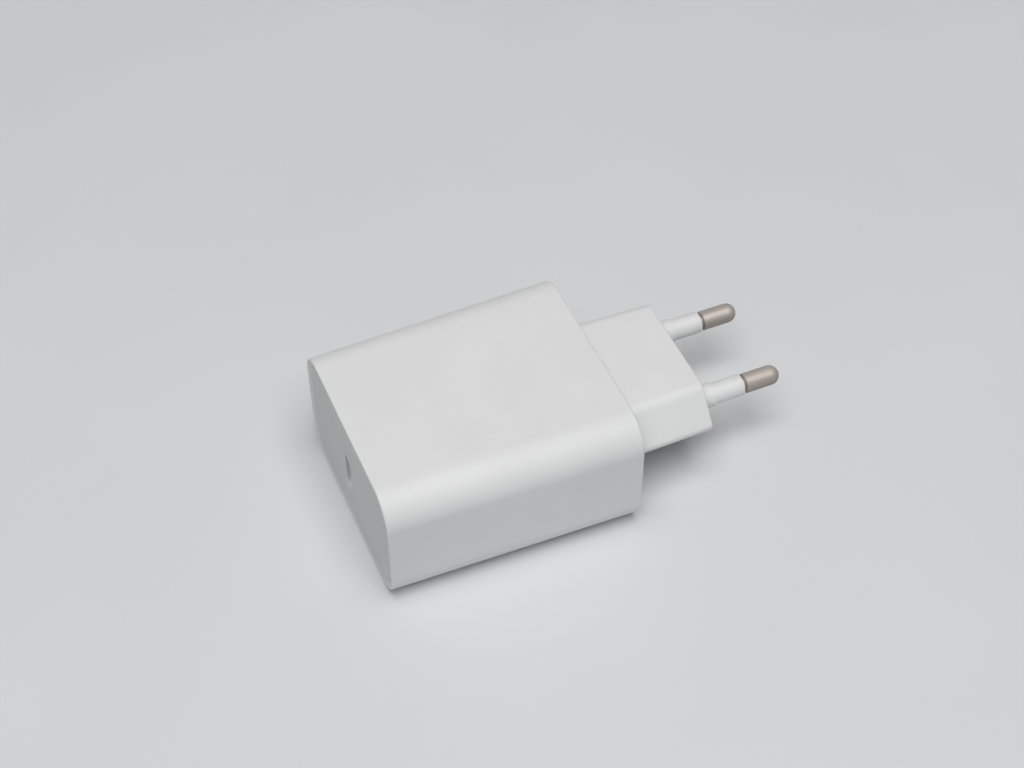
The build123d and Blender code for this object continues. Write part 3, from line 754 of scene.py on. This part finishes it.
@dataclass
class Boards(SubAssembly):
    """The circuit boards, their solder joints and their small parts."""

    can_lead_pitch_mm: float = 5.0
    output_lead_pitch_mm: float = 3.5
    box_lead_pitch_mm: float = 10.0
    disc_lead_pitch_mm: float = 5.0
    fuse_lead_pitch_mm: float = 5.08
    terminals_per_row: int = 4
    terminal_radius_mm: float = 0.4
    joint_radius_mm: float = 0.85
    joint_height_mm: float = 0.62
    # Radius and depth of the joint's flank, as shares of its whole radius and height.
    joint_flank: tuple[tuple[float, float], ...] = ((0.66, 0.2), (0.48, 0.6), (0.42, 1.0))
    joint_tip: float = 1.06
    chip_length_mm: float = 1.6
    chip_width_mm: float = 0.8
    chip_height_mm: float = 0.55
    chip_pitch_mm: float = 2.6
    chip_rows: int = 3
    chip_columns: int = 5
    # Shares of the chip's length, of its pitch along the row, and of its section.
    chip_body: float = 0.7
    chip_end: float = 0.22
    chip_end_place: float = 0.4
    chip_end_bulge: float = 1.06
    chip_column_pitch: float = 0.7

    def build(self) -> None:
        """Dress the boards and add what is soldered to them."""
        self.dress(BOARD, "main_board", "port_board")
        self.dress(FILM, "insulation_sheet")
        self.joints()
        self.small_parts()

    def pair(self, node: str, pitch_mm: float, along: Vector) -> list[Vector]:
        """List the two lead points of a part about its middle.

        Args:
            node: The part's CAD node.
            pitch_mm: From one lead to the other.
            along: The direction from one to the other.

        Returns:
            The two points.
        """
        middle = Extent.of(node).middle
        return [middle + along * (side * pitch_mm * MM / 2) for side in (-1, 1)]

    def lead_points(self) -> list[Vector]:
        """List the points at which leads pass through the main board.

        Returns:
            One point for each lead, of which only x and y count.
        """
        along_x, along_y = Vector((1, 0, 0)), Vector((0, 1, 0))
        points = []
        for can in ("bulk_capacitor_front", "bulk_capacitor_rear"):
            points += self.pair(can, self.can_lead_pitch_mm, along_y)
        points += self.pair("output_capacitor", self.output_lead_pitch_mm, along_y)
        points += self.pair("x_capacitor", self.box_lead_pitch_mm, along_x)
        points += self.pair("fuse", self.fuse_lead_pitch_mm, along_y)
        for disc in ("y_capacitor", "varistor"):
            points += self.pair(disc, self.disc_lead_pitch_mm, along_x)
        rows = Extent.of("transformer_terminals")
        inset = self.terminal_radius_mm * MM
        for y in (rows.low.y + inset, rows.high.y - inset):
            for index in range(self.terminals_per_row):
                share = index / (self.terminals_per_row - 1)
                x = rows.low.x + inset + (rows.size.x - 2 * inset) * share
                points.append(Vector((x, y, 0.0)))
        return points

    def joints(self) -> None:
        """Add a solder joint below the board at each lead."""
        under = Extent.of("main_board").low.z
        radius, height = self.joint_radius_mm * MM, self.joint_height_mm * MM
        outline = [(0.0, 0.0), (radius, 0.0)]
        outline += [(share * radius, -depth * height) for share, depth in self.joint_flank]
        outline.append((0.0, -self.joint_tip * height))
        shape = bmesh.new()
        for point in self.lead_points():
            lathe(shape, outline, Vector((point.x, point.y, under)))
        self.add_piece("solder_joints", shape, SOLDER, "tinned_wire")

    def small_parts(self) -> None:
        """Add rows of small ceramic parts with tinned ends below the board."""
        board = Extent.of("main_board")
        controller = Extent.of("controller_ic")
        sizes_mm = (self.chip_length_mm, self.chip_width_mm, self.chip_height_mm)
        length, width, height = (size * MM for size in sizes_mm)
        body_size = Vector((length * self.chip_body, width, height))
        end_size = Vector(
            (length * self.chip_end, width * self.chip_end_bulge, height * self.chip_end_bulge)
        )
        pitch = self.chip_pitch_mm * MM
        bodies, ends = bmesh.new(), bmesh.new()
        for row in range(self.chip_rows):
            for column in range(self.chip_columns):
                middle = Vector(
                    (
                        controller.middle.x + (row - (self.chip_rows - 1) / 2) * pitch,
                        controller.low.y - pitch - column * pitch * self.chip_column_pitch,
                        board.low.z - height / 2,
                    )
                )
                soft_block(bodies, middle, body_size, height * 0.1)
                for side in (-1, 1):
                    end = middle + Vector((side * length * self.chip_end_place, 0.0, 0.0))
                    soft_block(ends, end, end_size, height * 0.12)
        self.add_piece("chip_capacitor_bodies", bodies, CERAMIC, "chip_epoxy")
        self.add_piece("chip_capacitor_ends", ends, SOLDER, "tinned_wire")


@dataclass
class Transformer(SubAssembly):
    """The transformer, with its copper as separate turns of wire."""

    turns: int = 14

    def build(self) -> None:
        """Dress the transformer and wind it."""
        self.dress(FERRITE, "transformer_core_lower", "transformer_core_upper")
        self.dress(PHENOLIC, "transformer_bobbin")
        self.dress(TAPE, "transformer_tape")
        self.dress(TINNED, "transformer_terminals")
        self.dress(COPPER, "transformer_winding")
        self.winding()

    def winding(self) -> None:
        """Wind the outer layer of turns in place of the solid ring."""
        ring = Extent.of("transformer_winding")
        wire = ring.size.z / self.turns / 2
        radius = ring.size.x / 2 - wire
        shape = bmesh.new()
        for turn in range(self.turns):
            height = ring.low.z + wire * (2 * turn + 1)
            wire_ring(shape, Vector((ring.middle.x, ring.middle.y, height)), radius, wire)
        self.add_piece("transformer_turns", shape, COPPER, "copper_wire", ("transformer_winding",))


@dataclass
class Choke(SubAssembly):
    """The ring choke, with each winding as separate turns of wire."""

    wire_mm: float = 0.8
    turns: int = 9
    winding_angle: float = 130.0
    corner_steps: int = 4
    # From the ring's outer to its inner radius.
    ring_depth_mm: float = 2.75

    def build(self) -> None:
        """Dress the choke and wind it."""
        self.dress(RING_PAINT, "choke_core")
        self.dress(PHENOLIC, "choke_base")
        self.dress(COPPER, "choke_winding_front", "choke_winding_rear")
        for end, direction in (("front", -1), ("rear", 1)):
            self.winding(end, direction)

    def winding(self, end: str, direction: int) -> None:
        """Wind one side of the ring.

        Args:
            end: The end's name in the CAD.
            direction: 1 for the rear and -1 for the front.
        """
        core = Extent.of("choke_core")
        outer = core.size.y / 2
        coil = Extent.of(f"choke_winding_{end}")
        shape = bmesh.new()
        step = math.radians(self.winding_angle) / self.turns
        for turn in range(self.turns):
            angle = (turn - (self.turns - 1) / 2) * step
            loop = bmesh.new()
            self.loop(loop, coil.size.x, outer)
            facing = math.pi / 2 * -direction
            matrix = Matrix.Translation(core.middle) @ Matrix.Rotation(facing + angle, 4, "X")
            bmesh.ops.transform(loop, matrix=matrix, verts=loop.verts)
            mesh = bpy.data.meshes.new("turn")
            loop.to_mesh(mesh)
            loop.free()
            shape.from_mesh(mesh)
            bpy.data.meshes.remove(mesh)
        stands_for = (f"choke_winding_{end}",)
        self.add_piece(f"choke_turns_{end}", shape, COPPER, "copper_wire", stands_for)

    def loop(self, shape: bmesh.types.BMesh, width: float, ring_outer: float) -> None:
        """Add one turn of wire round the ring's section, upright above the ring's centre.

        Args:
            shape: The mesh to add to.
            width: The turn's outer width along the ring's axis.
            ring_outer: The ring's outer radius.
        """
        wire = self.wire_mm * MM / 2
        half_width = width / 2 - wire
        top = ring_outer + wire
        bottom = ring_outer - self.ring_depth_mm * MM - wire
        corner = wire * 1.2
        start = Vector((half_width, 0.0, bottom + corner))
        verts = bmesh.ops.create_circle(
            shape, segments=8, radius=wire * 0.98, matrix=Matrix.Translation(start)
        )["verts"]
        runs = [top - bottom - 2 * corner, width - 2 * wire - 2 * corner] * 2
        heading = Vector((0.0, 0.0, 1.0))
        inward = Vector((-1.0, 0.0, 0.0))
        place = start
        edges = boundary(verts)
        for run in runs:
            made = bmesh.ops.extrude_edge_only(shape, edges=edges)["geom"]
            moved = [item for item in made if isinstance(item, bmesh.types.BMVert)]
            bmesh.ops.translate(shape, verts=moved, vec=heading * run)
            place = place + heading * run
            turned = bmesh.ops.spin(
                shape,
                geom=moved + inner_edges(moved),
                cent=place + inward * corner,
                axis=(0.0, 1.0, 0.0),
                angle=-math.pi / 2,
                steps=self.corner_steps,
            )["geom_last"]
            edges = [item for item in turned if isinstance(item, bmesh.types.BMEdge)]
            place = place + (inward + heading) * corner
            heading, inward = inward, -heading


@dataclass
class Capacitors(SubAssembly):
    """The cans, the boxed and dipped capacitors, the fuse and the varistor."""

    vent_radius_share: float = 0.78
    rim_mm: float = 0.12

    def build(self) -> None:
        """Dress the passive parts and add the cans' bare tops."""
        for can in ("bulk_capacitor_front", "bulk_capacitor_rear", "output_capacitor"):
            middle = Extent.of(can).middle
            sleeve = ShrinkSleeve(
                f"printed_shrink_sleeve_{can}",
                "#B9BEC4",
                "#24402F",
                0.35,
                middle=(middle.x, middle.y),
            )
            self.dress(sleeve, can)
            self.can_top(can)
        self.dress(FILM_BOX, "x_capacitor")
        self.dress(LACQUER, "y_capacitor", "varistor")
        self.dress(FUSE_CASE, "fuse")

    def can_top(self, can: str) -> None:
        """Add the bare aluminium disc that the sleeve leaves open, with its vent cross.

        Args:
            can: The can's CAD node.
        """
        box = Extent.of(can)
        radius = box.size.x / 2 * self.vent_radius_share
        rim = self.rim_mm * MM
        top = Vector((box.middle.x, box.middle.y, box.high.z))
        outline = [(0.0, -rim), (radius, -rim), (radius, 0.3 * rim), (radius - rim, rim)]
        outline += [(radius - 3 * rim, 0.4 * rim), (0.0, 0.4 * rim)]
        shape = bmesh.new()
        lathe(shape, outline, top, 32)
        for turn in range(2):
            raised = Matrix.Translation(top + Vector((0.0, 0.0, 0.5 * rim)))
            spoke = raised @ Matrix.Rotation(math.pi / 2 * turn, 4, "Z")
            block = bmesh.ops.create_cube(
                shape, size=1.0, matrix=spoke @ Matrix.Diagonal((1.5 * radius, 1.5 * rim, rim, 1.0))
            )["verts"]
            bmesh.ops.bevel(
                shape,
                geom=boundary(block),
                offset=0.3 * rim,
                segments=1,
                profile=0.5,
                affect="EDGES",
                material=-1,
            )
        self.add_piece(f"{can}_top", shape, ALUMINIUM, "capacitor_can")


class LegSides(Enum):
    """The pair of sides on which a package has its legs."""

    ALONG_X = Vector((1.0, 0.0, 0.0))
    ALONG_Y = Vector((0.0, 1.0, 0.0))


@dataclass
class Semiconductors(SubAssembly):
    """The moulded packages and their gull-wing legs."""

    leg_width_mm: float = 0.42
    leg_thickness_mm: float = 0.18
    leg_reach_mm: float = 0.85
    bridge_pitch_mm: float = 5.1
    fine_pitch_mm: float = 1.27
    coupler_pitch_mm: float = 2.54
    # The leg's bends, as shares of its reach, and its root, as a share of the half height.
    leg_inside: float = 0.2
    leg_knee: float = 0.3
    leg_heel: float = 0.5
    leg_root: float = 0.9

    def build(self) -> None:
        """Dress the packages and add the legs."""
        self.dress(
            CHIP,
            "bridge_rectifier",
            "primary_switch",
            "controller_ic",
            "sync_rectifier",
            "optocoupler",
            "protocol_ic",
        )
        self.legs("bridge_rectifier", LegSides.ALONG_Y, 2, self.bridge_pitch_mm)
        self.legs("controller_ic", LegSides.ALONG_X, 4, self.fine_pitch_mm)
        self.legs("sync_rectifier", LegSides.ALONG_X, 4, self.fine_pitch_mm)
        self.legs("optocoupler", LegSides.ALONG_Y, 2, self.coupler_pitch_mm)

    def legs(self, package: str, sides: LegSides, count: int, pitch_mm: float) -> None:
        """Add the legs of one package on its two opposite sides.

        Args:
            package: The package's CAD node.
            sides: The sides with legs.
            count: Legs on each side.
            pitch_mm: From one leg to the next.
        """
        box = Extent.of(package)
        board = Extent.of("main_board")
        above = box.middle.z > board.middle.z
        foot_z = board.high.z if above else board.low.z
        lift = self.leg_thickness_mm * MM / 2 * (1 if above else -1)
        shape = bmesh.new()
        out = sides.value
        row = Vector((out.y, out.x, 0.0))
        reach = self.leg_reach_mm * MM
        for side in (-1, 1):
            edge = box.middle + Vector((out.x * box.size.x, out.y * box.size.y, 0.0)) * (side / 2)
            for index in range(count):
                root = edge + row * ((index - (count - 1) / 2) * pitch_mm * MM)
                root.z = foot_z + (box.middle.z - foot_z) * self.leg_root
                knee = root + out * (side * reach * self.leg_knee)
                heel = Vector((*(root + out * (side * reach * self.leg_heel)).xy, foot_z + lift))
                toe = Vector((*(root + out * (side * reach)).xy, foot_z + lift))
                inside = root - out * (side * reach * self.leg_inside)
                bent_strip(
                    shape,
                    [inside, knee, heel, toe],
                    row * (self.leg_width_mm * MM),
                    self.leg_thickness_mm * MM,
                )
        self.add_piece(f"{package}_legs", shape, TINNED, "tinned_wire")


@dataclass
class HeatPath(SubAssembly):
    """The folded heat spreader and the pad below it."""

    def build(self) -> None:
        """Dress the heat path."""
        self.dress(ALUMINIUM, "heat_spreader")
        self.dress(SILICONE, "thermal_pad")


# ---------------------------------------------------------------- studio


@dataclass(frozen=True)
class Softbox:
    """A square soft lamp that faces the charger, with its power in watts."""

    name: str
    place: tuple[float, float, float]
    size: float
    power: float
    colour: str

    def hang(self) -> None:
        """Make the lamp and turn it towards the charger."""
        light = bpy.data.lights.new(self.name, "AREA")
        light.shape = "SQUARE"
        light.size = self.size
        light.energy = self.power
        light.color = linear(self.colour)[:3]
        lamp = bpy.data.objects.new(self.name, light)
        lamp.location = self.place
        lamp.rotation_euler = (-Vector(self.place)).to_track_quat("-Z", "Y").to_euler()
        bpy.context.scene.collection.objects.link(lamp)


@dataclass
class Studio:
    """The plain floor, the soft lamps, the room and the camera."""

    floor_size: float = 6.0
    # Matt paper: a plain pale tone with no sheen.
    paper: Finish = Finish("matt_studio_paper", "#D6D8DA", "#D4D6D8", 0.9, ior=1.2, patch_mm=60.0)
    # A broad lamp overhead, and a weak one low on the near side.
    softboxes: tuple[Softbox, ...] = (
        Softbox("top_softbox", (0.3, -0.1, 1.14), 0.9, 12.9, "#FFFFFF"),
        Softbox("side_softbox", (0.9, -0.5, 0.35), 0.5, 0.6, "#F4F6FF"),
    )
    world_colour: str = "#FFFFFF"
    world_strength: float = 0.15
    backdrop_strength: float = 0.8
    lens_mm: float = 67.86
    sensor_mm: float = 36.0
    distance: float = 0.38125
    azimuth: float = 67.4
    elevation: float = 48.13
    roll: float = -0.52
    aim_mm: tuple[float, float, float] = (-8.66, -6.12, 13.6)

    def build(self) -> None:
        """Make the floor, the lamps, the world and the camera."""
        self.floor()
        for softbox in self.softboxes:
            softbox.hang()
        self.world()
        self.camera()

    def floor(self) -> None:
        """Lay a matt pale floor under the charger."""
        mesh = bpy.data.meshes.new("floor")
        shape = bmesh.new()
        bmesh.ops.create_grid(shape, x_segments=1, y_segments=1, size=self.floor_size / 2)
        shape.to_mesh(mesh)
        shape.free()
        floor = bpy.data.objects.new("floor", mesh)
        bpy.context.scene.collection.objects.link(floor)
        mesh.materials.append(self.paper.material())

    def world(self) -> None:
        """Light the room weakly, and show it pale to the camera, in gloss and through film."""
        world = bpy.data.worlds.new("room")
        world.use_nodes = True
        tree = world.node_tree
        background = tree.nodes["Background"]
        background.inputs["Color"].default_value = linear(self.world_colour)
        path = add_node(tree, "ShaderNodeLightPath")
        shown = path.outputs["Is Camera Ray"]
        for ray in ("Is Glossy Ray", "Is Transmission Ray"):
            either = add_node(
                tree, "ShaderNodeMath", {0: shown, 1: path.outputs[ray]}, operation="MAXIMUM"
            )
            shown = either.outputs[0]
        level = add_node(
            tree,
            "ShaderNodeMapRange",
            {"Value": shown, "To Min": self.world_strength, "To Max": self.backdrop_strength},
        )
        tree.links.new(level.outputs["Result"], background.inputs["Strength"])
        bpy.context.scene.world = world

    def camera(self) -> None:
        """Set the camera by its bearing, height and distance from the aim point."""
        bearing = math.radians(self.azimuth)
        height = math.radians(self.elevation)
        back = Vector(
            (
                math.sin(bearing) * math.cos(height),
                -math.cos(bearing) * math.cos(height),
                math.sin(height),
            )
        )
        lens = bpy.data.cameras.new("camera")
        lens.lens = self.lens_mm
        lens.sensor_width = self.sensor_mm
        lens.clip_start = 0.01
        camera = bpy.data.objects.new("camera", lens)
        roll = Euler((0.0, 0.0, math.radians(self.roll))).to_quaternion()
        turn = back.to_track_quat("Z", "Y") @ roll
        stand = Vector(self.aim_mm) * MM + back * self.distance
        camera.matrix_world = Matrix.Translation(stand) @ turn.to_matrix().to_4x4()
        bpy.context.scene.collection.objects.link(camera)
        bpy.context.scene.camera = camera


SUB_ASSEMBLIES = (
    Housing,
    PlugPins,
    Port,
    Boards,
    Transformer,
    Choke,
    Capacitors,
    Semiconductors,
    HeatPath,
)


def main() -> None:
    """Load the frame, build the studio, and build and dress every sub-assembly."""
    logging.basicConfig(level=logging.INFO, format="%(message)s")
    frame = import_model()
    bpy.context.scene.view_settings.view_transform = "Standard"
    Studio().build()
    for kind in SUB_ASSEMBLIES:
        kind(frame["nodes"]).build()


if __name__ == "__main__":
    main()
